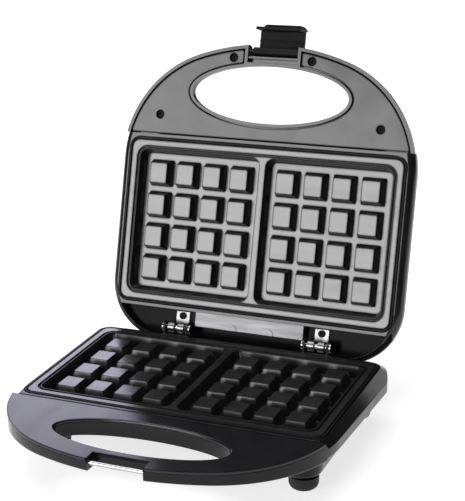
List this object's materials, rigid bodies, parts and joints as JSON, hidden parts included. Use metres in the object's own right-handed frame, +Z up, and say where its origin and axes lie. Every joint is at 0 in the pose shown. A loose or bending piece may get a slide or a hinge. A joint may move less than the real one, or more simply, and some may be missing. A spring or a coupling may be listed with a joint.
{
  "type": "waffle maker",
  "caption": "Countertop waffle maker with a lid hinged at the back, waffle plates with raised posts, arched finger handles and a swinging latch.",
  "frame": {"origin": "on the table, under the middle of the cooking plates, where the plane of the feet meets the plane of symmetry", "axes": "+X to the right of someone facing the handles, +Y towards the hinge, +Z up"},
  "size_m": [0.237, 0.3218, 0.2672],
  "materials": {
    "case_plastic": "glossy black moulded plastic",
    "cover_plastic": "polished black moulded plastic",
    "coated_plate": "dark non-stick coating on cast aluminium",
    "heater_tube": "heat-dulled steel tube",
    "sheet_steel": "plain pressed sheet steel",
    "dark_screw": "blackened steel screw",
    "hinge_steel": "bright zinc-plated steel",
    "bright_rod": "polished plated rod",
    "foot_rubber": "matte black rubber",
    "inner_plastic": "heat-resistant moulding",
    "red_lens": "clear red lens",
    "green_lens": "clear green lens"
  },
  "bodies": {
    "base": {"base_shell": "case_plastic", "base_handle_cover": "cover_plastic", "base_cover_screws": "dark_screw", "lower_plate": "coated_plate", "lower_heater": "heater_tube", "lower_reflector": "sheet_steel", "lower_reflector_screws": "dark_screw", "thermostat": "inner_plastic", "thermal_fuse": "inner_plastic", "terminal_block": "inner_plastic", "cord_gland": "case_plastic", "catch_rod": "bright_rod", "feet": "foot_rubber", "foot_screws": "dark_screw", "left_base_hinge_bracket": "hinge_steel", "right_base_hinge_bracket": "hinge_steel", "left_hinge_pin": "bright_rod", "right_hinge_pin": "bright_rod", "base_bracket_screws": "dark_screw"},
    "lid": {"lid_shell": "case_plastic", "lid_handle_cover": "cover_plastic", "lid_cover_screws": "dark_screw", "upper_plate": "coated_plate", "upper_heater": "heater_tube", "upper_reflector": "sheet_steel", "upper_reflector_screws": "dark_screw", "left_lid_hinge_bracket": "hinge_steel", "right_lid_hinge_bracket": "hinge_steel", "lid_bracket_screws": "dark_screw", "wire_guard": "sheet_steel", "power_lens": "red_lens", "ready_lens": "green_lens", "lamp_board": "inner_plastic", "latch_pin": "bright_rod"},
    "latch": {"latch": "case_plastic"}
  },
  "joints": [
    {"name": "lid_hinge", "type": "hinge", "parent": "base", "child": "lid", "pos_m": [0, 0.0811, 0.0444], "axis": [1, 0, 0], "range_deg": [0, 107.2]},
    {"name": "latch_pivot", "type": "hinge", "parent": "lid", "child": "latch", "pos_m": [0, 0.15539, 0.24856], "axis": [1, 0, 0], "range_deg": [0, 90]}
  ]
}
